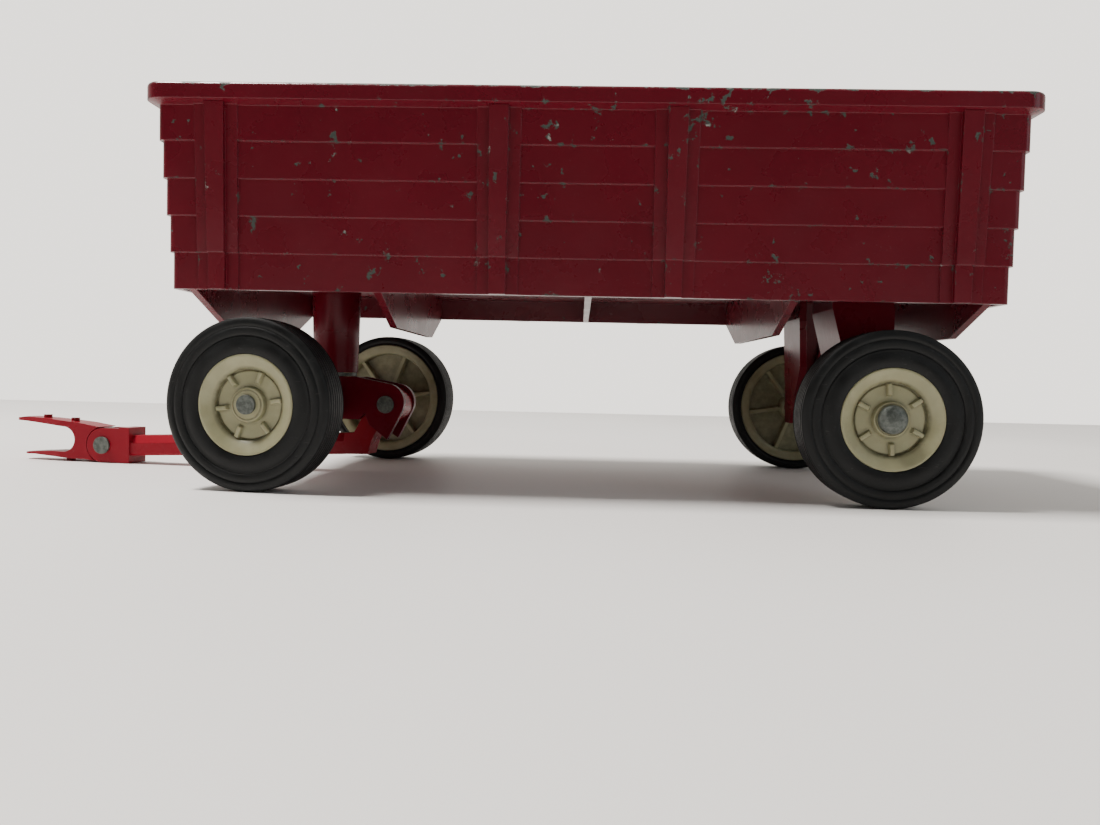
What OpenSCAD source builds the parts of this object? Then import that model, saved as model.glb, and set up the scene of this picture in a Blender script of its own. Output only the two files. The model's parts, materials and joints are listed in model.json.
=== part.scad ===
// Toy farm barge wagon: planked grain box on a cast chassis, steering front truck,
// fixed rear axle, drawbar with a pivoting hitch jaw, four rubber-tyred wheels.
// The wagon's front points along -X, its left side along -Y, and the ground is z = 0.

/* [Grain box] */
// Overall length over the lip
box_l = 224.2; // [180:0.2:270]
// Overall width over the lip
box_w = 116.8; // [95:0.2:140]
// Height of the box walls from their lower edge to the lip's top
box_h = 51.3; // [40:0.2:70]
// Number of lap planks up each wall
planks = 5; // [3:1:7]
// How far each plank stands out over the one below it
lap = 0.67; // [0.2:0.01:1.2]
// Thickness of the cast walls
wall = 1.8; // [1.4:0.1:3]
// Thickness of the floor
floor_t = 2; // [1.2:0.1:4]
// Depth of the walls' skirt below the floor
skirt = 7.3; // [5:0.1:12]
// How far the lip stands out past the top plank
lip_out = 2.9; // [1:0.1:4]
// Height of the lip's outer face
lip_h = 4.2; // [2.5:0.1:7]
// Outer corner radius of the lip
corner_r = 4.5; // [3.9:0.1:9]

/* [Side posts] */
// Distance from the middle of the box to each inner post
post_in = 22.3; // [16:0.1:40]
// Distance from the end of the lip to each outer post
post_setback = 17.95; // [13:0.05:30]
// Width of a post's rib at its top
post_top_w = 4.9; // [3:0.1:8]
// Width of a post's rib at its foot
post_foot_w = 4.2; // [3:0.1:8]
// Width of the flange on each side of a post's rib
flange_w = 3.1; // [1.5:0.1:5]
// How far a post's flange stands out from the planks
flange_out = 0.5; // [0.3:0.1:1]
// How far a post's rib stands out from the planks
post_out = 1.9; // [1.2:0.1:2.1]

/* [Chassis] */
// Thickness of the bolster plates
bolster_t = 2; // [1.4:0.1:4]
// Distance from the middle of the box to each inner bolster
bolster_in = 53.5; // [40:0.5:60]
// Distance from the end of the lip to each outer bolster
bolster_setback = 10.2; // [9.2:0.1:14]
// How far the bolsters reach below the box walls
bolster_drop = 7.7; // [4:0.1:8]
// Width of the bolsters' lower edge
bolster_foot = 60; // [40:1:80]
// Thickness of the spine plate under the floor
spine_t = 1.2; // [1:0.1:2]
// Width of the spine plate
spine_w = 26; // [16:1:30]
// Diameter of the rivets that hold the chassis to the floor
rivet_d = 3; // [2:0.1:4]
// Distance from the middle of the box to each inner rivet
rivet_in = 16; // [10:0.5:22]
// Distance from the middle of the box to each outer rivet
rivet_out = 40; // [30:0.5:46]
// Diameter of the king post at its top
post_d_top = 15.2; // [13:0.2:18]
// Diameter of the king post at its foot
post_d_foot = 13.6; // [12:0.2:16]
// Distance from the front of the lip to the kingpin
king_setback = 34.2; // [31:0.1:50]
// Distance from the back of the lip to the rear axle
rear_setback = 34.6; // [31:0.1:50]
// Width of a rear leg at the floor
leg_top_w = 17; // [12:0.5:20]
// Width of a rear leg at the axle
leg_foot_w = 8.8; // [7:0.2:12]
// How far a rear leg splays outward on its way down
leg_splay = 12; // [6:0.5:16]
// Thickness of a rear leg's walls
leg_t = 2.2; // [1.6:0.1:3]

/* [Wheels] */
// Outer diameter of the tyres
tyre_d = 45; // [36:0.5:56]
// Width of the tyres
tyre_w = 11.5; // [9:0.1:15]
// Distance between the middles of the left and right tyres
track = 102.1; // [94:0.1:120]
// Depth of the rubber over the rim's barrel
tyre_depth = 5.1; // [4:0.1:8]
// Diameter of the rim's outer face
rim_face_d = 26; // [22:0.5:28]
// Gap between the top of the tyres and the box walls
tyre_clear = 7; // [6:0.1:14]
// Diameter of both axles
axle_d = 3.2; // [2.4:0.1:4]
// Radial running clearance of every turning fit
run_clear = 0.05; // [0.02:0.01:0.09]

/* [Steering truck and drawbar] */
// Angle at which the truck stands, positive to the left at its front
steer = -8.2; // [-30:0.1:30]
// Diameter of the kingpin
kingpin_d = 4.8; // [3.6:0.1:6]
// Width over the truck's side plates
truck_w = 11.4; // [10.6:0.1:16]
// Thickness of the truck's side plates
plate_t = 1.7; // [1.2:0.1:2.2]
// Distance of the drawbar's pin behind the kingpin
pin_back = 18.8; // [17:0.1:26]
// Diameter of the drawbar's pin
pin_d = 3.6; // [2.6:0.1:4.4]
// Distance of the hitch rivet in front of the kingpin
hitch_front = 79.3; // [65:0.1:100]
// Diameter of the hitch rivet
hitch_pin_d = 3.8; // [2.8:0.1:4.4]
// Width over the ears that hold the hitch jaw
ears_w = 8.8; // [8:0.1:12]
// How far the drawbar can lift before it meets the truck, in degrees
lift = 20; // [5:1:21]
// Height of the gap between the jaws
jaw_gap = 8.4; // [6:0.1:10]
// Reach of the upper jaw in front of the hitch rivet
jaw_reach = 34.2; // [28:0.1:45]

/* [Hidden] */

RED = [0.55, 0.04, 0.08];
CREAM = [0.82, 0.79, 0.64];
RUBBER = [0.06, 0.06, 0.06];
STEEL = [0.45, 0.45, 0.44];

e = 0.01;
fit_gap = 0.3;
round_fn = 72;
small_fn = 40;

// Heights
axle_z = tyre_d / 2;
wall_z = tyre_d + tyre_clear;
lip_z = wall_z + box_h;
floor_under = wall_z + skirt;
floor_top = floor_under + floor_t;
lip_chamfer = 0.9;
plank_h = (box_h - lip_h - lip_chamfer / 2) / planks;

// Plan sizes of plank i, counted from the bottom
function half_l(i) = box_l / 2 - lip_out - lap * (planks - 1 - i);
function half_w(i) = box_w / 2 - lip_out - lap * (planks - 1 - i);
plank_r = corner_r - lip_out;
inner_r = 1;
function plank_z(i) = wall_z + plank_h * i;
top = planks - 1;

// Places along the wagon, measured from the middle of the box
king_x = -(box_l / 2 - king_setback);
rear_x = box_l / 2 - rear_setback;
bolster_xs = [-(box_l / 2 - bolster_setback), -bolster_in, bolster_in,
    box_l / 2 - bolster_setback];
post_xs = [-(box_l / 2 - post_setback), -post_in, post_in, box_l / 2 - post_setback];
rivet_xs = [-rivet_out, -rivet_in, rivet_in, rivet_out];

// Fits, and the formed heads of the pins
axle_r = axle_d / 2;
axle_bore = axle_r + run_clear;
pin_r = pin_d / 2;
hitch_r = hitch_pin_d / 2;
kingpin_r = kingpin_d / 2;
rivet_r = rivet_d / 2;
rivet_head_t = 0.9;
rivet_head_out = 1.1;
pin_head_out = 0.9;
pin_head_t = 0.6;
hitch_head_t = 0.7;
axle_head_t = 0.9;
kingpin_reach = 14;

// Wheel section, with s running outward along the axle from the tyre's middle
tyre_r = tyre_d / 2;
half_tw = tyre_w / 2;
barrel_r = tyre_r - tyre_depth;
flange_r = tyre_r - 3.1;
face_r = rim_face_d / 2;
face_s = half_tw - 0.2;
boss_r = 4.4;
boss_s = face_s - 1.2;
disc_s = face_s - 2.7;
hub_r = 5.2;
hub_out = 1.7;
web_s = -1.4;
seat = 0.05;
bearing_gap = 0.4;
boss_y = track / 2 - half_tw - hub_out - bearing_gap;
boss_face_y = track / 2 + boss_s;

// Truck and drawbar, in the truck's own plan: u runs rearward from the kingpin
truck_top = axle_z + 7.7;
truck_under = axle_z - 5.5;
beam_half = 4.5;
washer_t = 1;
washer_gap = 0.1;
king_foot = truck_top + washer_t + 2 * washer_gap;
head_t = 1.5;
head_z = axle_z + axle_r + 0.9;
head_r = kingpin_r + 1.6;
pin_z = axle_z - 0.7;
slot_w = truck_w - 2 * plate_t;
lug_w = slot_w - 0.4;
pocket_w = lug_w + 0.3;
lug_r = 5.3;
plate_r = 5.8;
ear_r = 5.65;
hitch_z = ear_r + 0.15;
tang_w = ears_w - 2 * 2.1;
jaw_w = 8.4;
jaw_swing_r = ear_r + 0.35;
tip_r = 2.4;

// Lower edge of the drawbar's bar in (u, z), and the front edge of its lug from the pin
bar_h = 6.6;
bar_low = [pin_back - 17, pin_z - 16.1];
bar_front = [-hitch_front + 9.5, hitch_z - 3.18];
bar_tilt = atan((bar_low[1] - bar_front[1]) / (bar_low[0] - bar_front[0]));
bar_len = norm(bar_low - bar_front);
lug_high = [-8.7, -4.8];
lug_low = [-11, -9.1];
lift_gap = 0.4;

// Shift that puts the origin under the middle of the whole wagon
front_x = king_x - (hitch_front + jaw_reach - tip_r) * cos(steer) - tip_r;
mid_x = (front_x + box_l / 2) / 2;

module in_frame() {
    translate([-mid_x, 0, 0]) children();
}

module on_truck() {
    in_frame() translate([king_x, 0, 0]) rotate([0, 0, steer]) children();
}

// A side outline given in (x, z), made into a plate of width w centred on y = 0
module side_on(w) {
    translate([0, w / 2, 0]) rotate([90, 0, 0]) linear_extrude(w) children();
}

// An end outline given in (y, z), made into a plate from x0 to x0 + t
module end_on(x0, t) {
    translate([x0, 0, 0]) rotate([90, 0, 90]) linear_extrude(t) children();
}

// A cylinder along Y through (x, z), from y0 to y1
module rod_y(x, z, y0, y1, r, fn) {
    translate([x, y0, z]) rotate([-90, 0, 0]) cylinder(h = y1 - y0, r = r, $fn = fn);
}

module round_rect(l, w, r) {
    square([l - 2 * r, w], center = true);
    square([l, w - 2 * r], center = true);
    for (sx = [-1, 1], sy = [-1, 1])
        translate([sx * (l / 2 - r), sy * (w / 2 - r)]) circle(r = r, $fn = small_fn);
}

function arc(cx, cy, r, a0, a1, n) =
    [for (k = [0:n]) [cx + r * cos(a0 + (a1 - a0) * k / n), cy + r * sin(a0 + (a1 - a0) * k / n)]];

// ---- Grain box ----

// Lip section: d runs outward from the wall's inner face
lip_round = 1;
lip_d = wall + lip_out;
lip_section = concat(
    [[0, lip_z - lip_h - lip_chamfer], [wall, lip_z - lip_h - lip_chamfer],
     [lip_d, lip_z - lip_h]],
    arc(lip_d - lip_round, lip_z - lip_round, lip_round, 0, 90, 4),
    arc(lip_round, lip_z - lip_round, lip_round, 90, 180, 4));

module lip_bar(half_len, offset_in) {
    rotate([90, 0, 90]) linear_extrude(2 * half_len, center = true)
        polygon([for (p = lip_section) [offset_in + p[0], p[1]]]);
}

module lip() {
    half_x = box_l / 2 - corner_r;
    half_y = box_w / 2 - corner_r;
    for (a = [0, 180]) {
        rotate([0, 0, a]) lip_bar(half_x, box_w / 2 - lip_d);
        rotate([0, 0, a + 90]) lip_bar(half_y, box_l / 2 - lip_d);
    }
    for (q = [[1, 1, 0], [-1, 1, 90], [-1, -1, 180], [1, -1, 270]])
        translate([q[0] * half_x, q[1] * half_y, 0]) rotate([0, 0, q[2]])
            rotate_extrude(angle = 90, $fn = round_fn) intersection() {
                polygon([for (p = lip_section) [corner_r - lip_d + p[0], p[1]]]);
                translate([0, lip_z - 2 * lip_h]) square([corner_r + 1, 2 * lip_h + 1]);
            }
}

// Side outline of a post strip, out by "out" from the planks, in (y, z)
module post_profile(out) {
    y_top = half_w(top) + out;
    y_sill = half_w(1) + out;
    z_top = lip_z - lip_h - lip_chamfer / 2;
    polygon([
        [half_w(0) - wall / 2, wall_z],
        [half_w(0) + out, wall_z],
        [half_w(0) + out, plank_z(1)],
        [y_sill, plank_z(1)],
        [y_top, z_top],
        [half_w(top) - wall / 2, z_top]]);
}

module post_strip(x, out, w_top, w_foot) {
    z_top = lip_z - lip_h - lip_chamfer / 2;
    intersection() {
        end_on(x - w_top, 2 * w_top) post_profile(out);
        translate([x, 0, 0]) rotate([90, 0, 0]) linear_extrude(2 * box_w, center = true)
            polygon([[-w_foot / 2, wall_z], [w_foot / 2, wall_z],
                [w_top / 2, z_top], [-w_top / 2, z_top]]);
    }
}

module post(x) {
    post_strip(x, flange_out, post_top_w + 2 * flange_w, post_foot_w + 2 * flange_w);
    post_strip(x, post_out, post_top_w, post_foot_w);
}

module wagon_box() {
    color(RED) in_frame() difference() {
        union() {
            for (i = [0:top])
                translate([0, 0, plank_z(i)])
                    linear_extrude(plank_h) round_rect(2 * half_l(i), 2 * half_w(i), plank_r);
            lip();
            for (x = post_xs, side = [0, 1])
                mirror([0, side, 0]) post(x);
        }
        for (i = [0:top])
            translate([0, 0, max(plank_z(i), floor_top)])
                linear_extrude(lip_z - max(plank_z(i), floor_top) + 1)
                    round_rect(2 * (half_l(i) - wall), 2 * (half_w(i) - wall), inner_r);
        translate([0, 0, wall_z - 1])
            linear_extrude(skirt + 1)
                round_rect(2 * (half_l(0) - wall), 2 * (half_w(0) - wall), inner_r);
        for (x = rivet_xs)
            translate([x, 0, floor_under - 1])
                cylinder(h = floor_t + 2, r = rivet_r + run_clear, $fn = small_fn);
    }
}

// ---- Chassis ----

spine_z = floor_under - seat;
inner_half_w = half_w(0) - wall - fit_gap;
rib_x = 1;
rib_t = 1.8;
leg_foot_y = boss_y - 1.2;
leg_foot_z = axle_z - 5.3;
leg_slope = leg_splay / (wall_z - axle_z);
web_top_y = leg_foot_y - leg_slope * (spine_z - axle_z);
gusset_in = 8;
edge_in = 2;

module bolster(x) {
    end_on(x - bolster_t / 2, bolster_t) polygon([
        [-inner_half_w, spine_z], [-inner_half_w, wall_z],
        [-bolster_foot / 2, wall_z - bolster_drop],
        [bolster_foot / 2, wall_z - bolster_drop],
        [inner_half_w, wall_z], [inner_half_w, spine_z]]);
}

// Half width of a leg at height z
function leg_half(z) = (leg_foot_w + (leg_top_w - leg_foot_w)
    * max(0, z - axle_z) / (wall_z - axle_z)) / 2;

// Strip along one edge of a leg in (x, z), from the edge inward by w
module leg_edge(side, w) {
    zs = [leg_foot_z, axle_z, wall_z, spine_z];
    out = [for (z = zs) [side * min(leg_half(z), leg_top_w / 2), z]];
    in = [for (k = [3:-1:0]) [side * (min(leg_half(zs[k]), leg_top_w / 2) - w), zs[k]]];
    side_on(4 * track) polygon(concat(out, in));
}

// A rear leg on the +Y side: an outward web, a deep front gusset and a narrow rear edge
module leg() {
    intersection() {
        leg_edge(-1, leg_top_w);
        leg_edge(1, leg_top_w);
        end_on(-leg_top_w, 2 * leg_top_w) polygon([
            [leg_foot_y, leg_foot_z], [leg_foot_y, axle_z], [web_top_y, spine_z],
            [web_top_y - leg_t, spine_z], [leg_foot_y - leg_t, axle_z],
            [leg_foot_y - leg_t, leg_foot_z]]);
    }
    intersection() {
        leg_edge(-1, leg_t);
        end_on(-leg_top_w, 2 * leg_top_w) polygon([
            [leg_foot_y - leg_t / 2, leg_foot_z], [leg_foot_y - leg_t / 2, axle_z],
            [web_top_y - leg_t / 2, spine_z], [gusset_in, spine_z], [gusset_in, wall_z - 1],
            [gusset_in + 6, axle_z + 14], [gusset_in + 17, axle_z + 5],
            [leg_foot_y - leg_t - 5, leg_foot_z]]);
    }
    intersection() {
        leg_edge(1, leg_t * 1.5);
        end_on(-leg_top_w, 2 * leg_top_w) polygon([
            [leg_foot_y - leg_t / 2, leg_foot_z], [leg_foot_y - leg_t / 2, axle_z],
            [web_top_y - leg_t / 2, spine_z], [web_top_y - leg_t - edge_in, spine_z],
            [leg_foot_y - leg_t - edge_in, axle_z], [leg_foot_y - leg_t - edge_in, leg_foot_z]]);
    }
    rod_y(0, axle_z, leg_foot_y - 5, boss_y, leg_foot_w / 2, small_fn);
}

module chassis() {
    color(RED) in_frame() difference() {
        union() {
            translate([bolster_xs[0] - bolster_t / 2, -spine_w / 2, spine_z - spine_t])
                cube([bolster_xs[3] - bolster_xs[0] + bolster_t, spine_w, spine_t]);
            for (x = bolster_xs)
                bolster(x);
            translate([rib_x - rib_t / 2, -inner_half_w, wall_z])
                cube([rib_t, 2 * inner_half_w, spine_z - wall_z]);
            translate([king_x, 0, king_foot])
                cylinder(h = spine_z - king_foot, r1 = post_d_foot / 2, r2 = post_d_top / 2,
                    $fn = round_fn);
            translate([rear_x - leg_top_w / 2, -web_top_y, spine_z - spine_t])
                cube([leg_top_w, 2 * web_top_y, spine_t]);
            for (side = [0, 1])
                translate([rear_x, 0, 0]) mirror([0, side, 0]) leg();
        }
        translate([king_x, 0, king_foot - 1])
            cylinder(h = kingpin_reach + 2, r = kingpin_r + run_clear, $fn = small_fn);
        rod_y(rear_x, axle_z, -track, track, axle_bore, small_fn);
        for (x = rivet_xs)
            translate([x, 0, spine_z - spine_t - 1])
                cylinder(h = spine_t + 2, r = rivet_r + run_clear, $fn = small_fn);
    }
}

module chassis_rivets() {
    color(STEEL) in_frame() for (x = rivet_xs) {
        translate([x, 0, spine_z - spine_t - seat - rivet_head_t])
            cylinder(h = rivet_head_t, r1 = rivet_r + rivet_head_out / 2, r2 = rivet_r + rivet_head_out,
                $fn = small_fn);
        translate([x, 0, spine_z - spine_t - seat - e])
            cylinder(h = floor_top - spine_z + spine_t + seat + e, r = rivet_r, $fn = small_fn);
    }
}

module kingpin() {
    color(STEEL) in_frame() translate([king_x, 0, 0]) {
        translate([0, 0, head_z])
            cylinder(h = head_t, r = head_r, $fn = small_fn);
        translate([0, 0, head_z])
            cylinder(h = king_foot + kingpin_reach - head_z, r = kingpin_r, $fn = small_fn);
    }
}

module kingpin_washer() {
    color(STEEL) in_frame() translate([king_x, 0, truck_top + washer_gap])
        difference() {
            cylinder(h = washer_t, r = post_d_foot / 2 - 0.4, $fn = small_fn);
            translate([0, 0, -1]) cylinder(h = washer_t + 2, r = kingpin_r + run_clear, $fn = small_fn);
        }
}

// ---- Axles ----

end_gap = 0.15;
cap_r = 3.65;
cap_wall_h = 0.9;
cap_dome_h = 1.5;
rear_end_y = boss_face_y + 1.3;
cap_foot_y = boss_face_y + end_gap;

module rear_axle() {
    color(STEEL) in_frame() rod_y(rear_x, axle_z, -rear_end_y, rear_end_y, axle_r, small_fn);
}

// Push-on cap, drawn along +Y
module axle_cap() {
    difference() {
        rotate([-90, 0, 0]) rotate_extrude($fn = round_fn) polygon(concat(
            [[0, cap_foot_y], [cap_r, cap_foot_y], [cap_r, cap_foot_y + cap_wall_h]],
            [for (a = [20:20:80])
                [cap_r * cos(a), cap_foot_y + cap_wall_h + cap_dome_h * sin(a)]],
            [[0, cap_foot_y + cap_wall_h + cap_dome_h]]));
        rod_y(0, 0, 0, rear_end_y + 0.1, axle_bore, small_fn);
    }
}

module rear_cap(side) {
    color(STEEL) in_frame() translate([rear_x, 0, axle_z]) mirror([0, side, 0]) axle_cap();
}

module front_axle() {
    color(STEEL) on_truck() {
        rod_y(0, axle_z, -boss_face_y - end_gap - e, boss_face_y + end_gap + e, axle_r, small_fn);
        for (side = [0, 1])
            mirror([0, side, 0])
                rod_y(0, axle_z, boss_face_y + end_gap, boss_face_y + end_gap + axle_head_t,
                    axle_r + pin_head_out, small_fn);
    }
}

// ---- Steering truck ----

block_u0 = -6.5;
block_u1 = 8.2;
beam_end_y = boss_y - 4;

module truck_plate_outline() {
    polygon(concat(
        [[block_u1 - 4, truck_top], [block_u1 - 4, truck_under],
         [pin_back - 8.7, truck_under], [pin_back - 6.8, pin_z - 2.9],
         [pin_back - 5.3, pin_z - 6.4], [pin_back + 0.5, pin_z - 10.7],
         [pin_back + 1.2, pin_z - 9.6]],
        arc(pin_back, pin_z + 0.7, plate_r, -30, 75, 12),
        [[pin_back - 9.9, truck_top]]));
}

// Room between the side plates for the drawbar, lifted as far as it goes
module lift_pocket() {
    gap = [-lift_gap, lift_gap];
    front = bar_front - [pin_back, pin_z] + [0, bar_h + lift_gap];
    translate([pin_back, 0, pin_z]) rotate([0, lift, 0]) side_on(pocket_w)
        polygon([[0, lug_high[1]], lug_high + gap, lug_low + gap, front,
            [front[0], -truck_top], [0, -truck_top]]);
}

module steering_truck() {
    color(RED) on_truck() difference() {
        union() {
            side_on(truck_w) truck_plate_outline();
            translate([block_u0, -truck_w / 2, truck_under])
                cube([block_u1 - block_u0, truck_w, truck_top - truck_under]);
            translate([0, 0, axle_z])
                cylinder(h = truck_top - axle_z, r = post_d_foot / 2 + 0.2, $fn = round_fn);
            translate([-beam_half, -beam_end_y, axle_z - beam_half])
                cube([2 * beam_half, 2 * beam_end_y, 2 * beam_half]);
            rod_y(0, axle_z, -boss_y, boss_y, beam_half - 0.1, small_fn);
        }
        translate([block_u1, -slot_w / 2, 0])
            cube([pin_back + 2 * plate_r, slot_w, 2 * truck_top]);
        translate([0, 0, truck_under - 1])
            cylinder(h = head_z + head_t + washer_gap - truck_under + 1, r = head_r + 0.4,
                $fn = small_fn);
        translate([0, 0, axle_z])
            cylinder(h = truck_top, r = kingpin_r + run_clear, $fn = small_fn);
        lift_pocket();
        rod_y(0, axle_z, -track, track, axle_bore, small_fn);
        rod_y(pin_back, pin_z, -truck_w, truck_w, pin_r + run_clear, small_fn);
    }
}

module tongue_pin() {
    color(STEEL) on_truck() {
        rod_y(pin_back, pin_z, -truck_w / 2 - seat - e, truck_w / 2 + seat + e, pin_r, small_fn);
        for (side = [0, 1])
            mirror([0, side, 0])
                rod_y(pin_back, pin_z, truck_w / 2 + seat, truck_w / 2 + seat + pin_head_t,
                    pin_r + pin_head_out, small_fn);
    }
}

// ---- Drawbar ----

// Section of the bar: bevelled top edges and small lower chamfers
module bar_section() {
    hw = lug_w / 2;
    polygon([[-hw, 0.6], [-hw + 0.6, 0], [hw - 0.6, 0], [hw, 0.6], [hw, 4.1],
        [hw - 1.6, bar_h], [-hw + 1.6, bar_h], [-hw, 4.1]]);
}

module tongue() {
    color(RED) on_truck() difference() {
        union() {
            translate([bar_front[0], 0, bar_front[1]]) rotate([0, -bar_tilt, 0])
                translate([-2, 0, 0]) rotate([90, 0, 90]) linear_extrude(bar_len + 5) bar_section();
            side_on(lug_w) polygon(concat(
                [[bar_low[0] + 2, bar_low[1] + 0.2], [pin_back - 6.5, pin_z - 15.7],
                 [pin_back - 5.3, pin_z - 11.5]],
                arc(pin_back, pin_z, lug_r, -110, 148, 22),
                [[pin_back, pin_z] + lug_high, [pin_back, pin_z] + lug_low,
                 [pin_back - 14, pin_z - 9.3]]));
            for (side = [-1, 1])
                translate([0, side * (ears_w + tang_w + 0.4) / 4, 0])
                    side_on((ears_w - tang_w - 0.4) / 2) union() {
                        translate([-hitch_front, hitch_z]) circle(r = ear_r, $fn = round_fn);
                        translate([-hitch_front, hitch_z - ear_r]) square([9, 2 * ear_r]);
                    }
            translate([-hitch_front + jaw_swing_r, -ears_w / 2, hitch_z - ear_r])
                cube([9.7 - jaw_swing_r, ears_w, 2 * ear_r + 0.3]);
        }
        rod_y(pin_back, pin_z, -lug_w, lug_w, pin_r + run_clear, small_fn);
        rod_y(-hitch_front, hitch_z, -ears_w, ears_w, hitch_r + run_clear, small_fn);
    }
}

module hitch_rivet() {
    color(STEEL) on_truck() {
        rod_y(-hitch_front, hitch_z, -ears_w / 2 - seat - e, ears_w / 2 + seat + e, hitch_r, small_fn);
        for (side = [0, 1])
            mirror([0, side, 0])
                rod_y(-hitch_front, hitch_z, ears_w / 2 + seat, ears_w / 2 + seat + hitch_head_t,
                    hitch_r + pin_head_out, small_fn);
    }
}

// ---- Hitch jaw, drawn with its rivet at the origin of (u, z) ----

throat = [-14.6, 1.5];
low_reach = jaw_reach - 3;

module jaw_outline() {
    half_gap = jaw_gap / 2;
    polygon(concat(
        [[0, 5.6], [-1.6, 6], [-9, 7.1], [-21.7, 8.2], [-29.5, 8.6],
         [-jaw_reach, 8], [-jaw_reach, 7.3], [-29.5, 7.1], [-22.7, 6.5]],
        arc(throat[0], throat[1], half_gap, 90, -90, 16),
        [[-19.3, -2.6], [-26.5, -3], [-low_reach, -3.4], [-low_reach, -4],
         [-26.5, -3.9], [-17.7, -4.4], [-12.7, -4.8], [-6.5, -4.9], [-2, -5.4], [0, -5.4]]));
}

// Plan of both jaws: wide at the throat, narrowing to a round tip
module jaw_plan(reach) {
    polygon([[0, -jaw_w / 2], [0, jaw_w / 2], [-16, jaw_w / 2],
        [-reach + tip_r, tip_r], [-reach + tip_r, -tip_r], [-16, -jaw_w / 2]]);
    translate([-reach + tip_r, 0]) circle(r = tip_r, $fn = small_fn);
}

module hitch_jaw() {
    color(RED) on_truck() translate([-hitch_front, 0, hitch_z]) difference() {
        union() {
            difference() {
                intersection() {
                    side_on(2 * jaw_w) jaw_outline();
                    union() {
                        linear_extrude(20) jaw_plan(jaw_reach);
                        translate([0, 0, -20]) linear_extrude(20 + e) jaw_plan(low_reach);
                    }
                }
                rod_y(0, 0, -jaw_w, jaw_w, jaw_swing_r, round_fn);
            }
            intersection() {
                side_on(tang_w) union() {
                    circle(r = ear_r - 0.4, $fn = round_fn);
                    translate([-9, -4]) square([9, 8.5]);
                }
                translate([-20, -20, -20]) cube([25, 40, 40]);
            }
            for (u = [-23.6, -13.2])
                translate([u, 0, 7]) cylinder(h = u < -20 ? 2.3 : 1.5, r = 1.3, $fn = small_fn);
            translate([-14.9, 0, -hitch_z + 0.1]) cylinder(h = 1.5, r = 1.4, $fn = small_fn);
        }
        rod_y(0, 0, -jaw_w, jaw_w, hitch_r + run_clear, small_fn);
    }
}

// ---- Wheels, drawn with the axle along +Y and s = 0 in the tyre's middle ----

rim_section = concat(
    [[axle_bore, -half_tw - hub_out], [hub_r, -half_tw - hub_out], [hub_r, web_s],
     [barrel_r - 1.2, web_s], [barrel_r - 1.2, -half_tw + 0.9],
     [barrel_r + 0.5, -half_tw + 0.25], [flange_r, -half_tw + 0.25],
     [flange_r, -half_tw + 1.5], [barrel_r, -half_tw + 1.5],
     [barrel_r, face_s - 3], [face_r, face_s - 3], [face_r, face_s - 0.2],
     [face_r - 0.2, face_s]],
    [for (k = [1:5]) [face_r - 0.2 - 3.4 * k / 5, face_s - 1.9 * pow(k / 5, 1.6)]],
    [[face_r - 3.6, disc_s - 0.35], [face_r - 4, disc_s - 0.35], [face_r - 4.1, disc_s],
     [boss_r + 0.3, disc_s], [boss_r, boss_s], [axle_bore, boss_s]]);

shoulder = 0.9;
tyre_section = concat(
    [[flange_r + seat, -half_tw], [flange_r + seat, -half_tw + 1.55],
     [barrel_r + seat, -half_tw + 1.55], [barrel_r + seat, face_s - 2.95],
     [face_r + seat, face_s - 2.95], [face_r + seat, half_tw - 0.3],
     [face_r + 0.5, half_tw]],
    arc(tyre_r - shoulder, half_tw - shoulder, shoulder, 90, 0, 4),
    arc(tyre_r - shoulder, -half_tw + shoulder, shoulder, 0, -90, 4));

module rim_shape(phase) {
    rotate([-90, 0, 0]) rotate_extrude($fn = round_fn) polygon(rim_section);
    for (k = [0:5])
        rotate([0, phase + 60 * k, 0]) {
            translate([hub_r - 0.5, -half_tw + 1.7, -0.8])
                cube([barrel_r - hub_r - 0.3, web_s + half_tw - 1.6, 1.6]);
            translate([boss_r + 1.8, disc_s - 0.2, -0.7])
                cube([face_r - boss_r - 5.2, 1.1, 1.4]);
        }
}

module tyre_shape() {
    rotate([-90, 0, 0]) rotate_extrude($fn = 96) polygon(tyre_section);
}

module front_wheel(side) {
    on_truck() mirror([0, side, 0]) translate([0, track / 2, axle_z]) children();
}

module rear_wheel(side) {
    in_frame() mirror([0, side, 0]) translate([rear_x, track / 2, axle_z]) children();
}

wagon_box();
chassis();
chassis_rivets();
kingpin();
kingpin_washer();
rear_axle();
rear_cap(1);  // rear_cap_left
rear_cap(0);  // rear_cap_right
steering_truck();
front_axle();
tongue_pin();
tongue();
hitch_rivet();
hitch_jaw();
color(CREAM) front_wheel(1) rim_shape(-8);  // rim_front_left
color(CREAM) front_wheel(0) rim_shape(-9);  // rim_front_right
color(CREAM) rear_wheel(1) rim_shape(-35);  // rim_rear_left
color(CREAM) rear_wheel(0) rim_shape(-8);  // rim_rear_right
color(RUBBER) front_wheel(1) tyre_shape();  // tyre_front_left
color(RUBBER) front_wheel(0) tyre_shape();  // tyre_front_right
color(RUBBER) rear_wheel(1) tyre_shape();  // tyre_rear_left
color(RUBBER) rear_wheel(0) tyre_shape();  // tyre_rear_right
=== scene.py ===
"""Toy barge wagon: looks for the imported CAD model, in metres, front along -X, left side along -Y."""

import json
import math

import bmesh
import bpy
from mathutils import Matrix, Vector


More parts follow.
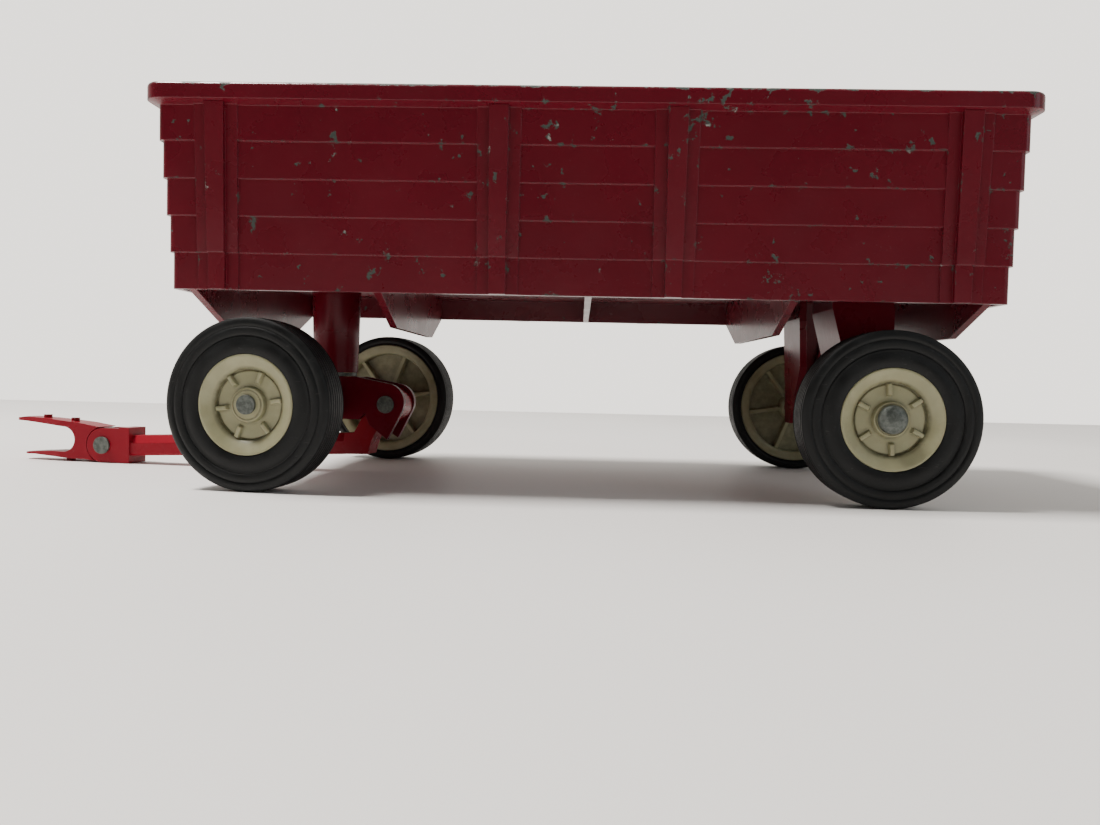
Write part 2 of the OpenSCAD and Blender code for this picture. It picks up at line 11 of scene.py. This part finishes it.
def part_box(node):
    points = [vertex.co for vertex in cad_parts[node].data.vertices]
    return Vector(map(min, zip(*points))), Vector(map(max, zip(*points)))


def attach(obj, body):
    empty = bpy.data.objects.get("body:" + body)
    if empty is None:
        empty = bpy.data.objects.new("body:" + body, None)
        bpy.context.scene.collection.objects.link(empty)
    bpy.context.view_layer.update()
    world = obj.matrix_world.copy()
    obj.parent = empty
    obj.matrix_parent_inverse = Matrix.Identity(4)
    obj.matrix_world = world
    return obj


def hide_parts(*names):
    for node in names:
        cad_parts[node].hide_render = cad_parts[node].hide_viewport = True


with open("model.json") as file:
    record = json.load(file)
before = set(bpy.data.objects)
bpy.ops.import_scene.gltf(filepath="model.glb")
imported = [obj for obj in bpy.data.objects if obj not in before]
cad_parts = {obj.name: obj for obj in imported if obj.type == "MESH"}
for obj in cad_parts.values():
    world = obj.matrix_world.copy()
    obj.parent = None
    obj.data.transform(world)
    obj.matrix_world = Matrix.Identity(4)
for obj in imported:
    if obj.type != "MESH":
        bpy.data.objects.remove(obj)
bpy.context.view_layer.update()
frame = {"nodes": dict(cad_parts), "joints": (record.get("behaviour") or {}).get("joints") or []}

MM = 0.001
NODES = frame["nodes"]
JOINTS = {j["name"]: j for j in frame["joints"]}

# ---- Wheel sizes, in mm: _R is a radius, _S a place outward along the axle from the tyre's middle ----

# Sizes that the meshes share with the CAD wheels
TYRE_R = 22.5
TYRE_HALF_W = 5.75
BARREL_R = 17.4
FLANGE_R = 19.4
FACE_R = 13.0
FACE_S = 5.55
BORE_R = 1.65
HUB_R = 5.2
HUB_S = -7.45
WEB_S = -1.4
BOSS_R = 4.4
BOSS_S = 4.35
DISC_S = 2.85
RIB_HALF_W = 0.8
RIB_S = -4.05

# The face's bowl and nibs, shaped more finely than the CAD's
BOWL_R = 9.4
BOWL_DEPTH = 1.9
NIB_S = 4.0
NIB_IN = 6.1
NIB_OUT = 9.3
NIB_HALF_W = 0.72
NIBS = 6
NIB_PITCH = 360 / NIBS

# Angle of one nib, in degrees from the wheel's own X axis towards its Z axis
NIB_PHASE = {"front_left": 52, "front_right": 8, "rear_left": 26, "rear_right": 8}


# ---- Node helpers ----

BEVEL_SAMPLES = 6

# Cosines of the angle between the rounded and the flat normal where an edge starts and is complete
EDGE_STARTS = 0.97
EDGE_FULL = 0.80


class Tree:
    """A material's nodes, with short calls for what the materials below need."""

    def __init__(self, name):
        self.material = bpy.data.materials.new(name)
        self.material.use_nodes = True
        self.nodes = self.material.node_tree.nodes
        self.links = self.material.node_tree.links
        self.shader = self.nodes["Principled BSDF"]
        self.place = self.nodes.new("ShaderNodeTexCoord").outputs["Object"]

    def add(self, kind, inputs=None, **settings):
        node = self.nodes.new(kind)
        for key, value in settings.items():
            setattr(node, key, value)
        for key, value in (inputs or {}).items():
            if isinstance(value, bpy.types.NodeSocket):
                self.links.new(value, node.inputs[key])
            else:
                node.inputs[key].default_value = value
        return node

    def noise(self, size_mm, detail=3.0, rough=0.55, stretch=None, shift=0.0):
        """Noise whose features are about size_mm across."""
        place = self.place
        if stretch or shift:
            mapping = {"Vector": place, "Location": (shift, shift, shift)}
            mapping["Scale"] = stretch or (1, 1, 1)
            place = self.add("ShaderNodeMapping", mapping).outputs[0]
        settings = {"Vector": place, "Scale": 1 / (size_mm * MM), "Detail": detail, "Roughness": rough}
        return self.add("ShaderNodeTexNoise", settings).outputs["Fac"]

    def step(self, value, low, high, to_low=0.0, to_high=1.0):
        """value from low to high becomes to_low to to_high, with soft ends."""
        settings = {"Value": value, "From Min": low, "From Max": high, "To Min": to_low, "To Max": to_high}
        return self.add("ShaderNodeMapRange", settings, interpolation_type="SMOOTHSTEP").outputs[0]

    def math(self, operation, a, b):
        return self.add("ShaderNodeMath", {0: a, 1: b}, operation=operation).outputs[0]

    def mix(self, factor, a, b):
        """Colour a where factor is 0 and colour b where it is 1."""
        node = self.nodes.new("ShaderNodeMix")
        node.data_type = "RGBA"
        for socket, value in ((node.inputs[0], factor), (node.inputs[6], a), (node.inputs[7], b)):
            if isinstance(value, bpy.types.NodeSocket):
                self.links.new(value, socket)
            elif isinstance(value, tuple):
                socket.default_value = (*value, 1.0)
            else:
                socket.default_value = value
        return node.outputs[2]

    def height(self):
        """Height above the ground at rest, for a CAD node, whose origin is the frame's."""
        return self.add("ShaderNodeSeparateXYZ", {0: self.place}).outputs["Z"]

    def edges(self, width_mm):
        """The normal with edges rounded over width_mm, and how near each point is to an edge."""
        radius = {"Radius": width_mm * MM}
        round_normal = self.add("ShaderNodeBevel", radius, samples=BEVEL_SAMPLES).outputs[0]
        flat_normal = self.add("ShaderNodeNewGeometry").outputs["Normal"]
        dot = self.add("ShaderNodeVectorMath", {0: round_normal, 1: flat_normal}, operation="DOT_PRODUCT")
        return round_normal, self.step(dot.outputs["Value"], EDGE_STARTS, EDGE_FULL)

    def bump(self, height, distance_mm, under=None):
        """The normal of a surface raised by distance_mm where height is 1, on the normal under."""
        settings = {"Height": height, "Distance": distance_mm * MM, "Strength": 1.0}
        if under is not None:
            settings["Normal"] = under
        return self.add("ShaderNodeBump", settings).outputs[0]

    def use(self, **sockets):
        """Sets or links the shader's own sockets, named with _ for a space."""
        for key, value in sockets.items():
            socket = self.shader.inputs[key.replace("_", " ")]
            if isinstance(value, bpy.types.NodeSocket):
                self.links.new(value, socket)
            elif isinstance(value, tuple):
                socket.default_value = (*value, 1.0)
            else:
                socket.default_value = value


# ---- Materials ----

# Heights between which the paint's sheen fades, so that the gear's flat plates mirror less of the wall
DULL_BELOW = 38 * MM
GLOSSY_ABOVE = 46 * MM

ZINC_DARK = (0.050, 0.062, 0.053)
ZINC_PALE = (0.30, 0.29, 0.27)
ZINC_ROUGHNESS = 0.62
PAINT_DUST = (0.50, 0.40, 0.38)
# Pale pink of the painted highlight along the castings' edges
PAINTED_EDGE_HIGHLIGHT = (0.50, 0.10, 0.16)

# What patches, nearness to an edge and the edge itself add to the noise that makes chips
PATCH_WEAR = 0.10
NEAR_EDGE_WEAR = 0.055
EDGE_WEAR = 0.030

IVORY = (0.285, 0.275, 0.158)
IVORY_PALE = (0.340, 0.328, 0.200)
# Dark olive of the painted shade in the rims' recesses
RECESS_PAINTED_SHADE = (0.085, 0.075, 0.035)
SPECK = (0.12, 0.09, 0.06)

RUBBER = (0.0030, 0.0034, 0.0036)
RUBBER_PALE = (0.0060, 0.0068, 0.0072)
RUBBER_DUST = (0.034, 0.034, 0.031)
RUBBER_SCUFF = (0.055, 0.055, 0.052)

STEEL_DARK = (0.070, 0.080, 0.072)
STEEL_PALE = (0.150, 0.165, 0.150)
STEEL_EDGE = (0.30, 0.31, 0.29)

TABLE_WHITE = (0.80, 0.785, 0.765)
TABLE_WHITE_LIT = (0.85, 0.835, 0.815)


def red_paint(name, colour, lit, chip_limit, lip_z=None):
    """Enamel on a casting, its edges tinted with a painted highlight. Chips show bare zinc where the noise
    passes chip_limit, most on edges.

    With lip_z, the top of the box's lip, the paint is also worn along the lip.
    """
    t = Tree(name)
    round_normal, edge = t.edges(0.28)
    cloud = t.noise(38, detail=5)
    chip_noise = t.noise(3.4, detail=4, rough=0.62)
    patches = t.noise(17, detail=2, shift=0.3)
    reach = t.math("MULTIPLY", t.step(patches, 0.45, 0.75), PATCH_WEAR)
    field = t.math("ADD", chip_noise, reach)
    near_edge = t.edges(1.6)[1]
    field = t.math("ADD", field, t.math("MULTIPLY", near_edge, NEAR_EDGE_WEAR))
    field = t.math("ADD", field, t.math("MULTIPLY", edge, EDGE_WEAR))
    if lip_z is not None:
        rim_wear = t.step(t.height(), lip_z - 1.3 * MM, lip_z - 0.1 * MM, 0.0, 0.17)
        field = t.math("ADD", field, rim_wear)
    chips = t.step(field, chip_limit, chip_limit + 0.02)
    zinc = t.mix(t.step(t.noise(3.1, detail=2, shift=0.7), 0.60, 0.72), ZINC_DARK, ZINC_PALE)
    paint = t.mix(t.step(cloud, 0.25, 0.75), colour, lit)
    dust = t.step(t.noise(0.7, detail=3, shift=1.3), 0.64, 0.82, 0.0, 0.08)
    paint = t.mix(dust, paint, PAINT_DUST)
    # Painted highlight: every edge is tinted a paler pink
    edge_highlight = t.math("MULTIPLY", edge, 0.07)
    paint = t.mix(edge_highlight, paint, PAINTED_EDGE_HIGHLIGHT)
    gloss = t.step(t.noise(14, detail=5, shift=2.1), 0.2, 0.8, 0.24, 0.33)
    peel = t.bump(t.noise(1.6, detail=2, shift=3.3), 0.035, under=round_normal)
    grain = t.bump(t.noise(0.45, detail=2), 0.012, under=peel)
    dents = t.bump(t.math("SUBTRACT", 1.0, chips), 0.09, under=grain)
    t.use(
        Base_Color=t.mix(chips, paint, zinc),
        Roughness=t.add("ShaderNodeMix", {0: chips, 2: gloss, 3: ZINC_ROUGHNESS}).outputs[0],
        Normal=dents,
        Specular_IOR_Level=t.step(t.height(), DULL_BELOW, GLOSSY_ABOVE, 0.10, 0.42),
        Coat_Weight=0.06,
        Coat_Roughness=0.15,
    )
    return t.material


def ivory_plastic(name):
    """Satin ivory plastic, with painted shade, mottled by noise, where the mesh marks a recess."""
    t = Tree(name)
    recess = t.add("ShaderNodeAttribute", attribute_name="recess").outputs["Fac"]
    cloud = t.noise(6, detail=3)
    unshaded = t.mix(t.step(cloud, 0.35, 0.7), IVORY, IVORY_PALE)
    specks = t.step(t.noise(0.5, detail=3, shift=0.9), 0.68, 0.76)
    # Painted shade where the mesh marks a recess, mottled by noise
    painted_shade = t.math("MULTIPLY", recess, t.step(t.noise(2.2, detail=3, shift=1.7), 0.25, 0.7, 0.35, 1.0))
    colour = t.mix(painted_shade, unshaded, RECESS_PAINTED_SHADE)
    colour = t.mix(t.math("MULTIPLY", specks, 0.55), colour, SPECK)
    t.use(
        Base_Color=colour,
        Roughness=t.step(cloud, 0.3, 0.7, 0.34, 0.50),
        Normal=t.bump(t.noise(0.9, detail=3, shift=2.6), 0.03),
        Specular_IOR_Level=0.45,
        Subsurface_Weight=0.06,
        Subsurface_Scale=0.0015,
    )
    return t.material


def black_rubber(name):
    """Old moulded rubber: nearly black, a soft sheen on the sidewall, dust and short scuffs."""
    t = Tree(name)
    cloud = t.noise(5, detail=4)
    dust = t.step(t.noise(1.1, detail=5, rough=0.7, shift=0.5), 0.56, 0.80, 0.0, 0.30)
    scuffs = t.step(t.noise(2.4, detail=2, stretch=(1, 1, 6), shift=1.9), 0.70, 0.74, 0.0, 0.35)
    colour = t.mix(t.step(cloud, 0.3, 0.7), RUBBER, RUBBER_PALE)
    colour = t.mix(dust, colour, RUBBER_DUST)
    colour = t.mix(scuffs, colour, RUBBER_SCUFF)
    t.use(
        Base_Color=colour,
        Roughness=t.step(cloud, 0.3, 0.7, 0.42, 0.58),
        Normal=t.bump(t.noise(0.6, detail=4, shift=2.2), 0.03),
        Specular_IOR_Level=0.26,
    )
    return t.material


def dull_steel(name):
    """Bare zinc-plated steel, oxidised to a mottled grey."""
    t = Tree(name)
    round_normal, edge = t.edges(0.2)
    mottle = t.noise(1.3, detail=4, rough=0.6)
    colour = t.mix(t.step(mottle, 0.35, 0.66), STEEL_DARK, STEEL_PALE)
    colour = t.mix(t.math("MULTIPLY", edge, 0.35), colour, STEEL_EDGE)
    t.use(
        Base_Color=colour,
        Metallic=0.55,
        Roughness=t.step(mottle, 0.3, 0.7, 0.38, 0.58),
        Normal=t.bump(t.noise(0.5, detail=3, shift=0.4), 0.04, under=round_normal),
    )
    return t.material


def pale_table(name):
    """Matt white table top."""
    t = Tree(name)
    cloud = t.noise(260, detail=2)
    t.use(
        Base_Color=t.mix(t.step(cloud, 0.3, 0.7), TABLE_WHITE, TABLE_WHITE_LIT),
        Roughness=0.55,
        Normal=t.bump(t.noise(3, detail=3), 0.02),
    )
    return t.material


# ---- Mesh helpers ----

# Angle between faces, in degrees, from which an edge is shaded sharp
SHARP_FROM = 50


def spread(start, end, count):
    """count values from start up to, and without, end."""
    return [start + (end - start) * k / count for k in range(count)]


def soft(x, low, high):
    """0 below low, 1 above high, and smooth between."""
    k = min(1.0, max(0.0, (x - low) / (high - low)))
    return k * k * (3 - 2 * k)


def ring_mesh(name, rings, angles, place):
    """A closed ring about its own Y: rings(a) gives its (radius, along, recess) loop at angle a, in mm.

    place puts it in the world. Its turn goes into the vertices, so that the object's own box is exact.
    """
    mesh = bmesh.new()
    # Per vertex, how much painted shade the ivory material puts there
    layer = mesh.verts.layers.float.new("recess")
    columns = []
    for a in angles:
        column = []
        for r, s, recess in rings(a):
            v = mesh.verts.new((r * math.cos(a) * MM, s * MM, r * math.sin(a) * MM))
            v[layer] = recess
            column.append(v)
        columns.append(column)
    for i, column in enumerate(columns):
        other = columns[(i + 1) % len(columns)]
        for k in range(len(column)):
            n = (k + 1) % len(column)
            mesh.faces.new((column[k], column[n], other[n], other[k]))
    bmesh.ops.recalc_face_normals(mesh, faces=mesh.faces)
    for f in mesh.faces:
        f.smooth = True
    for e in mesh.edges:
        e.smooth = e.calc_face_angle(0) < math.radians(SHARP_FROM)
    mesh.transform(place.to_3x3().to_4x4())
    data = bpy.data.meshes.new(name)
    mesh.to_mesh(data)
    mesh.free()
    obj = bpy.data.objects.new(name, data)
    bpy.context.scene.collection.objects.link(obj)
    obj.matrix_world = Matrix.Translation(place.to_translation())
    return obj


def wheel_place(wheel):
    """The wheel's own frame: Y points outward along the axle, and Z is up."""
    joint = JOINTS[wheel + "_roll"]
    axis = Vector(joint["axis"]).normalized()
    out = -axis if wheel.endswith("left") else axis
    up = Vector((0, 0, 1))
    side = out.cross(up)
    turn = Matrix((side, out, up)).transposed().to_4x4()
    return Matrix.Translation(Vector(joint["pos_m"])) @ turn


def wheel_angles(phase):
    """Angles round a wheel, close together across each nib, in radians."""
    dense = 9.0
    half = NIB_PITCH / 2
    sector = spread(-half, -dense, 9) + spread(-dense, dense, 36) + spread(dense, half, 9)
    return [math.radians(phase + NIB_PITCH * k + a) for k in range(NIBS) for a in sector]


def off_nib(a, phase):
    """Angle from a to the nearest nib's middle, in radians."""
    pitch = math.radians(NIB_PITCH)
    return (a - math.radians(phase) + pitch / 2) % pitch - pitch / 2


# ---- Rims ----


def face_profile():
    """(radius, along) of the rim's outer face from the bore out, without its nibs."""
    bowl_in = FACE_S - BOWL_DEPTH
    points = [(BORE_R, BOSS_S - 0.1), (BORE_R + 0.15, BOSS_S)]
    points += [(r, BOSS_S) for r in (2.6, 3.4, 3.62)]
    points += [(3.75, BOSS_S - 0.16), (3.95, BOSS_S - 0.16), (4.05, BOSS_S), (BOSS_R - 0.15, BOSS_S)]
    points += [(BOSS_R, BOSS_S - 0.1)]
    for k in (0.2, 0.4, 0.6, 0.8, 1.0):
        points.append((BOSS_R + 0.35 * k, BOSS_S - 0.1 - (BOSS_S - 0.1 - DISC_S) * soft(k, 0, 1)))
    points += [(r, DISC_S) for r in spread(5.2, NIB_IN, 4)]
    points += [(r, DISC_S) for r in spread(NIB_IN, 8.6, 14)]
    points += [(8.6, DISC_S), (8.75, DISC_S - 0.05), (8.85, DISC_S - 0.3), (9.05, DISC_S - 0.38)]
    points += [(9.2, DISC_S - 0.3), (BOWL_R - 0.12, bowl_in - 0.12), (BOWL_R, bowl_in)]
    land_r = FACE_R - 0.75
    for k in range(1, 9):
        u = k / 8
        points.append((BOWL_R + (land_r - BOWL_R) * u, bowl_in + (BOWL_DEPTH - 0.06) * u ** 0.8))
    points += [(land_r + 0.2, FACE_S), (FACE_R - 0.25, FACE_S), (FACE_R - 0.07, FACE_S - 0.07)]
    return points + [(FACE_R, FACE_S - 0.25), (FACE_R, FACE_S - 3)]


def back_profile():
    """(radius, along) of the rim's hidden barrel and its inner side, from the face back to the bore."""
    points = [(BARREL_R, FACE_S - 3), (BARREL_R, -TYRE_HALF_W + 1.5), (FLANGE_R, -TYRE_HALF_W + 1.5)]
    points += [(FLANGE_R, -TYRE_HALF_W + 0.5), (FLANGE_R - 0.2, -TYRE_HALF_W + 0.25)]
    points += [(BARREL_R + 0.5, -TYRE_HALF_W + 0.25), (BARREL_R - 0.6, -TYRE_HALF_W + 0.45)]
    points += [(BARREL_R - 1.0, -TYRE_HALF_W + 0.8), (BARREL_R - 1.2, -TYRE_HALF_W + 1.2)]
    points += [(BARREL_R - 1.25, s) for s in spread(-4.0, WEB_S - 0.2, 4)]
    points += [(BARREL_R - 1.45, WEB_S)]
    points += [(r, WEB_S) for r in spread(BARREL_R - 1.8, HUB_R + 0.4, 16)]
    points += [(HUB_R + 0.15, WEB_S), (HUB_R, WEB_S - 0.2), (HUB_R, RIB_S - 0.2)]
    points += [(HUB_R, HUB_S + 0.3), (HUB_R - 0.3, HUB_S), (BORE_R + 0.3, HUB_S)]
    return points + [(BORE_R, HUB_S + 0.2)]


def make_rim(wheel, material):
    """One wheel's rim with its nibs in front and its ribs behind, and painted shade in the recesses round
    them.
    """
    phase = NIB_PHASE[wheel]
    face, back = face_profile(), back_profile()

    def rings(a):
        off = off_nib(a, phase)
        loop = []
        for r, s in face:
            across = abs(r * math.sin(off))
            up = 1 - soft(across, NIB_HALF_W - 0.22, NIB_HALF_W + 0.06)
            up *= soft(r, NIB_IN - 0.35, NIB_IN + 0.25) * (1 - soft(r, NIB_OUT - 0.3, NIB_OUT + 0.05))
            crown = NIB_S - 0.18 * (across / NIB_HALF_W) ** 2
            top = s + max(0.0, crown - s) * up
            near = 1 - soft(across, NIB_HALF_W, NIB_HALF_W + 0.7)
            near *= soft(r, NIB_IN - 0.6, NIB_IN) * (1 - soft(r, NIB_OUT - 0.5, NIB_OUT + 0.1))
            ditch = soft(r, 8.4, 9.0) * (1 - soft(r, 9.3, 10.2))
            foot = soft(r, BOSS_R - 0.1, BOSS_R + 0.3) * (1 - soft(r, BOSS_R + 0.4, BOSS_R + 1.2))
            groove = soft(r, 3.5, 3.75) * (1 - soft(r, 3.95, 4.2))
            # Painted shade beside the nibs, in the ditch at the bowl's inner edge, at the boss's foot and in
            # its groove, never on a nib
            painted_shade = max(near * 0.5, ditch, foot * 0.6, groove * 0.7) * (1 - up)
            loop.append((r, top, 0.85 * painted_shade))
        for r, s in back:
            across = abs(r * math.sin(off))
            up = 1 - soft(across, RIB_HALF_W - 0.2, RIB_HALF_W + 0.08)
            inside = r < BARREL_R - 1.21 and s > RIB_S and r >= HUB_R
            along = s - (s - RIB_S) * up if inside else s
            # Painted shade on the back: most between the ribs, none on them, less on the rest
            recess = 0.55 * (1 - up) if s > RIB_S - 0.3 and r < BARREL_R - 1 else 0.25
            loop.append((r, along, recess))
        return loop

    rim = ring_mesh("rim_" + wheel + "_detail", rings, wheel_angles(phase), wheel_place(wheel))
    rim.data.materials.append(material)
    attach(rim, "wheel_" + wheel)
    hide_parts("rim_" + wheel)


# ---- Tyres ----

TREAD_RIBS = 7
TREAD_DEPTH = 0.4
TREAD_HALF = 4.6
TREAD_STEPS = 8
BEAD_SWELL = 0.34
TYRE_STEPS = 160


def side_wall(sign):
    """(radius, along) of one sidewall from the bead out to the shoulder."""
    points = []
    for k in range(13):
        u = k / 12
        swell = BEAD_SWELL * math.sin(math.pi * min(1, u * 1.15))
        points.append((FACE_R + 0.12 + 4.3 * u, TYRE_HALF_W - BEAD_SWELL + swell))
    points += [(17.55, TYRE_HALF_W - 0.50), (17.75, TYRE_HALF_W - 0.52), (17.95, TYRE_HALF_W - 0.28)]
    points += [(18.3, TYRE_HALF_W - 0.16), (19.1, TYRE_HALF_W - 0.14), (19.8, TYRE_HALF_W - 0.20)]
    points += [(20.0, TYRE_HALF_W - 0.45), (20.2, TYRE_HALF_W - 0.45), (20.4, TYRE_HALF_W - 0.26)]
    points += [(21.0, TYRE_HALF_W - 0.30), (21.6, TYRE_HALF_W - 0.42), (22.1, TYRE_HALF_W - 0.68)]
    points += [(22.38, TYRE_HALF_W - 0.92)]
    return [(r, sign * s) for r, s in points]


def tread():
    """(radius, along) across the tread, from the outer shoulder to the inner one."""
    points = []
    count = TREAD_RIBS * TREAD_STEPS
    for k in range(count + 1):
        u = k / count
        s = TREAD_HALF * (1 - 2 * u)
        groove = max(0.0, math.cos(2 * math.pi * TREAD_RIBS * u)) ** 3
        crown = 0.25 * (s / TREAD_HALF) ** 4
        points.append((TYRE_R - crown - TREAD_DEPTH * groove, s))
    return points


def make_tyre(wheel, material):
    """One wheel's tyre: outer sidewall, tread, inner sidewall and the seat on the rim."""
    inner = [(r, s) for r, s in reversed(side_wall(-1)) if r > FLANGE_R + 0.3]
    seat = [(FLANGE_R + 0.05, -TYRE_HALF_W + 0.15), (FLANGE_R + 0.05, -TYRE_HALF_W + 1.55)]
    seat += [(BARREL_R + 0.05, -TYRE_HALF_W + 1.55), (BARREL_R + 0.05, FACE_S - 2.95)]
    seat += [(FACE_R + 0.05, FACE_S - 2.95), (FACE_R + 0.05, TYRE_HALF_W - 0.4)]
    section = side_wall(1) + tread() + inner + seat
    section = [(r, s, 0.0) for r, s in section]
    angles = [2 * math.pi * k / TYRE_STEPS for k in range(TYRE_STEPS)]
    tyre = ring_mesh("tyre_" + wheel + "_detail", lambda a: section, angles, wheel_place(wheel))
    tyre.data.materials.append(material)
    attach(tyre, "wheel_" + wheel)
    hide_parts("tyre_" + wheel)


# ---- Castings and steel pieces: CAD nodes, their edges rounded and worn by their materials ----


def dress(node, material):
    """Gives a CAD node one material and leaves its shape and place alone."""
    data = NODES[node].data
    data.materials.clear()
    data.materials.append(material)


# ---- Stage, in metres and watts ----

TABLE_NEAR = -3.0
TABLE_FAR = 0.534
TABLE_HALF_L = 3.0

LIGHT_TARGET = (0.04, 0.0, 0.05)

# The backdrop's strength: as the camera sees it, and the light it sheds from its near and far sides
BACKDROP_SEEN = 2.1
BACKDROP_NEAR = 0.10
BACKDROP_FAR = 1.0
BACKDROP_TINT = (1.0, 0.955, 0.890)


def make_table(material):
    """The table top, which ends behind the wagon, where the backdrop begins."""
    data = bpy.data.meshes.new("table")
    corners = [(-TABLE_HALF_L, TABLE_NEAR, 0), (TABLE_HALF_L, TABLE_NEAR, 0)]
    corners += [(TABLE_HALF_L, TABLE_FAR, 0), (-TABLE_HALF_L, TABLE_FAR, 0)]
    data.from_pydata(corners, [], [(0, 1, 2, 3)])
    data.materials.append(material)
    table = bpy.data.objects.new("table", data)
    bpy.context.scene.collection.objects.link(table)


def add_light(name, position, size, watts, colour):
    """A square lamp that points at the wagon."""
    data = bpy.data.lights.new(name, "AREA")
    data.size = size
    data.energy = watts
    data.color = colour
    lamp = bpy.data.objects.new(name, data)
    lamp.location = position
    lamp.rotation_euler = (Vector(LIGHT_TARGET) - Vector(position)).to_track_quat("-Z", "Y").to_euler()
    bpy.context.scene.collection.objects.link(lamp)


def make_world():
    """A pale backdrop that lights the far side more than the near side."""
    world = bpy.data.worlds.new("studio")
    world.use_nodes = True
    nodes, links = world.node_tree.nodes, world.node_tree.links
    background = nodes["Background"]
    place = nodes.new("ShaderNodeTexCoord")
    split = nodes.new("ShaderNodeSeparateXYZ")
    links.new(place.outputs["Generated"], split.inputs[0])
    shade = nodes.new("ShaderNodeMapRange")
    shade.interpolation_type = "SMOOTHSTEP"
    shade.inputs["From Min"].default_value = -0.5
    shade.inputs["From Max"].default_value = 0.5
    shade.inputs["To Min"].default_value = BACKDROP_NEAR
    shade.inputs["To Max"].default_value = BACKDROP_FAR
    links.new(split.outputs["Y"], shade.inputs["Value"])
    path = nodes.new("ShaderNodeLightPath")
    seen = nodes.new("ShaderNodeMix")
    links.new(path.outputs["Is Camera Ray"], seen.inputs[0])
    links.new(shade.outputs[0], seen.inputs[2])
    seen.inputs[3].default_value = BACKDROP_SEEN
    links.new(seen.outputs[0], background.inputs["Strength"])
    background.inputs["Color"].default_value = (*BACKDROP_TINT, 1.0)
    bpy.context.scene.world = world


# ---- Camera: lens and sensor in mm, place in metres, turns in radians ----

LENS = 29.29
SENSOR = 36.0
EYE_FROM_KINGPIN = (0.07724, -0.28152, 0.03096)
YAW = -0.03252
PITCH = -0.03812
ROLL = 0.02202


def make_camera():
    """The photo's camera, placed from the kingpin's middle along X and from the frame's origin otherwise."""
    ahead = Vector((math.sin(YAW), math.cos(YAW), 0))
    right = Vector((math.cos(YAW), -math.sin(YAW), 0))
    up = Vector((0, 0, 1))
    look = math.cos(PITCH) * ahead + math.sin(PITCH) * up
    over = -math.sin(PITCH) * ahead + math.cos(PITCH) * up
    side = math.cos(ROLL) * right + math.sin(ROLL) * over
    top = -math.sin(ROLL) * right + math.cos(ROLL) * over
    data = bpy.data.cameras.new("camera")
    data.lens = LENS
    data.sensor_width = SENSOR
    data.clip_start = 0.005
    camera = bpy.data.objects.new("camera", data)
    low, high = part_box("kingpin")
    eye = Vector(EYE_FROM_KINGPIN) + Vector(((low.x + high.x) / 2, 0, 0))
    camera.matrix_world = Matrix.Translation(eye) @ Matrix((side, top, -look)).transposed().to_4x4()
    bpy.context.scene.collection.objects.link(camera)
    bpy.context.scene.camera = camera


# ---- The model ----

BOX_CHIP_LIMIT = 0.680
GEAR_CHIP_LIMIT = 0.76
HITCH_CHIP_LIMIT = 0.77
LIP_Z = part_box("wagon_box")[1].z
DEEP_RED = (0.098, 0.0026, 0.0095)
DEEP_RED_LIT = (0.120, 0.0034, 0.0115)
HITCH_RED = (0.220, 0.0070, 0.0170)
HITCH_RED_LIT = (0.268, 0.0090, 0.0205)

make_camera()
make_world()
make_table(pale_table("table_white"))
add_light("key", (-0.60, -0.05, 1.30), 0.30, 37, (1.0, 0.96, 0.92))
add_light("fill", (1.3, -0.9, 0.7), 0.8, 3, (0.86, 0.93, 1.0))

dress("wagon_box", red_paint("box_paint", DEEP_RED, DEEP_RED_LIT, BOX_CHIP_LIMIT, LIP_Z))
gear_paint = red_paint("gear_paint", DEEP_RED, DEEP_RED_LIT, GEAR_CHIP_LIMIT)
dress("chassis", gear_paint)
dress("steering_truck", gear_paint)
hitch_paint = red_paint("hitch_paint", HITCH_RED, HITCH_RED_LIT, HITCH_CHIP_LIMIT)
dress("tongue", hitch_paint)
dress("hitch_jaw", hitch_paint)

steel = dull_steel("dull_steel")
for name in ("chassis_rivets", "kingpin", "kingpin_washer", "rear_axle", "rear_cap_left",
             "rear_cap_right", "front_axle", "tongue_pin", "hitch_rivet"):
    dress(name, steel)

ivory = ivory_plastic("ivory_plastic")
rubber = black_rubber("black_rubber")
for wheel in NIB_PHASE:
    make_rim(wheel, ivory)
    make_tyre(wheel, rubber)
